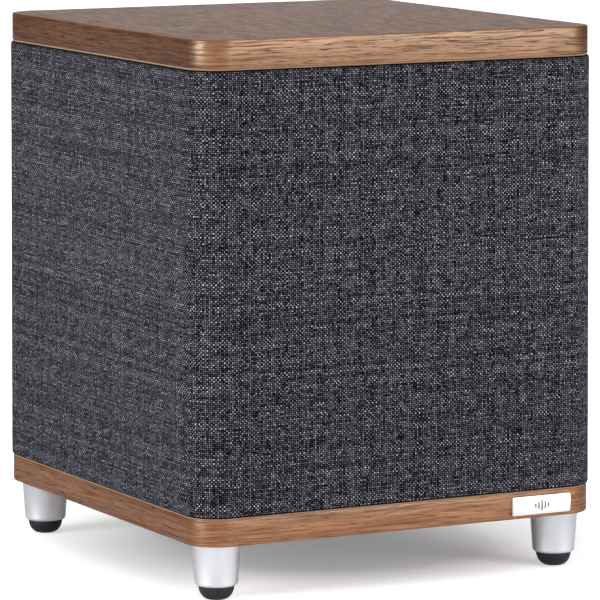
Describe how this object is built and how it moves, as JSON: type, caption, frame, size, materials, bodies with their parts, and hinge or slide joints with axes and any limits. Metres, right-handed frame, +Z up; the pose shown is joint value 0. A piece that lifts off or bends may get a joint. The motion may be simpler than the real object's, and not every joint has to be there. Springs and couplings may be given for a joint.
{
  "type": "powered subwoofer",
  "caption": "Compact cube subwoofer with walnut top and base panels, a woven fabric wrap, tapered metal feet, a down-firing driver and a rear amplifier plate.",
  "frame": {"origin": "on the floor, under the centre of the whole bounding box, which is 10.05 mm behind the centre of the cabinet panels", "axes": "+X to the right seen from the front, +Y to the back, +Z up"},
  "size_m": [0.272, 0.3059, 0.33],
  "materials": {
    "walnut": "satin walnut veneer",
    "fibreboard": "raw medium-density fibreboard",
    "softwood": "sawn softwood",
    "black_steel": "black zinc-plated steel",
    "wrap_fabric": "charcoal and grey plain weave",
    "fibre_wadding": "loose polyester fibre",
    "satin_aluminium": "satin, bead blasted",
    "zinc_steel": "zinc plated steel",
    "brass": "turned brass",
    "black_rubber": "smooth moulded rubber",
    "badge_aluminium": "satin",
    "black_inlay": "gloss black",
    "frame_black": "black powder coat on pressed steel",
    "foam_gasket": "closed-cell foam",
    "trim_plastic": "fine textured plastic",
    "surround_rubber": "moulded butyl rubber",
    "cone_paper": "pressed, coated paper pulp",
    "cap_paper": "pressed, coated paper pulp",
    "spider_cloth": "resin-treated cloth",
    "former_paper": "brown impregnated paper",
    "copper_wire": "enamelled copper wire",
    "ferrite": "sintered ferrite",
    "black_plastic": "moulded plastic",
    "wire_jacket": "smooth vinyl insulation",
    "plate_aluminium": "black anodised, fine brushed",
    "circuit_board": "green solder mask",
    "capacitor_sleeve": "shrink sleeve",
    "knob_plastic": "fine textured plastic",
    "rocker_plastic": "polished plastic",
    "fuse_glass": "clear glass tube with metal caps",
    "nickel_plate": "bright nickel plate",
    "light_lens": "tinted light pipe"
  },
  "bodies": {
    "cabinet": {"top_panel": "walnut", "bottom_panel": "walnut", "front_board": "fibreboard", "rear_board": "fibreboard", "left_board": "fibreboard", "right_board": "fibreboard", "corner_battens": "softwood", "cross_brace": "softwood", "top_dowels": "softwood", "base_screws": "black_steel", "fabric_sleeve": "wrap_fabric", "wadding": "fibre_wadding", "feet": "satin_aluminium", "foot_studs": "zinc_steel", "foot_inserts": "brass", "foot_pads": "black_rubber", "badge": "badge_aluminium", "badge_inlay": "black_inlay", "basket": "frame_black", "driver_gasket": "foam_gasket", "trim_ring": "trim_plastic", "driver_screws": "black_steel", "surround": "surround_rubber", "spider": "spider_cloth", "top_plate": "zinc_steel", "magnet": "ferrite", "yoke": "zinc_steel", "terminal_block": "black_plastic", "tinsel_leads": "copper_wire", "speaker_leads": "wire_jacket", "amp_plate": "plate_aluminium", "amp_gasket": "foam_gasket", "amp_screws": "black_steel", "main_board": "circuit_board", "board_spacers": "zinc_steel", "capacitors": "capacitor_sleeve", "transformer": "ferrite", "heatsink": "satin_aluminium", "control_board": "circuit_board", "control_pots": "zinc_steel", "switch_cases": "zinc_steel", "mains_switch_case": "black_plastic", "mains_inlet": "black_plastic", "inlet_pins": "brass", "line_sockets": "nickel_plate", "status_light": "light_lens"},
    "cone_assembly": {"cone": "cone_paper", "dust_cap": "cap_paper", "coil_former": "former_paper", "voice_coil": "copper_wire"},
    "level_control": {"level_shaft": "zinc_steel", "level_knob": "knob_plastic"},
    "crossover_control": {"crossover_shaft": "zinc_steel", "crossover_knob": "knob_plastic"},
    "phase_switch": {"phase_slider": "black_plastic"},
    "mode_switch": {"mode_slider": "black_plastic"},
    "mains_switch": {"mains_rocker": "rocker_plastic"},
    "fuse_holder": {"fuse_drawer": "black_plastic", "fuse": "fuse_glass"}
  },
  "joints": [
    {"name": "cone_slide", "type": "slide", "parent": "cabinet", "child": "cone_assembly", "axis": [0, 0, 1], "range_m": [-0.007, 0.007], "deforming": ["surround", "spider", "tinsel_leads"]},
    {"name": "level_turn", "type": "hinge", "parent": "cabinet", "child": "level_control", "pos_m": [0.045, 0.14295, 0.2473], "axis": [0, 1, 0], "range_deg": [-150, 150]},
    {"name": "crossover_turn", "type": "hinge", "parent": "cabinet", "child": "crossover_control", "pos_m": [0.008, 0.14295, 0.2473], "axis": [0, 1, 0], "range_deg": [-150, 150]},
    {"name": "phase_slide", "type": "slide", "parent": "cabinet", "child": "phase_switch", "axis": [1, 0, 0], "range_m": [0, 0.004]},
    {"name": "mode_slide", "type": "slide", "parent": "cabinet", "child": "mode_switch", "axis": [1, 0, 0], "range_m": [0, 0.004]},
    {"name": "mains_rock", "type": "hinge", "parent": "cabinet", "child": "mains_switch", "pos_m": [-0.035, 0.13245, 0.1193], "axis": [1, 0, 0], "range_deg": [0, 16]},
    {"name": "fuse_drawer_slide", "type": "slide", "parent": "cabinet", "child": "fuse_holder", "axis": [0, 1, 0], "range_m": [0, 0.018]}
  ]
}
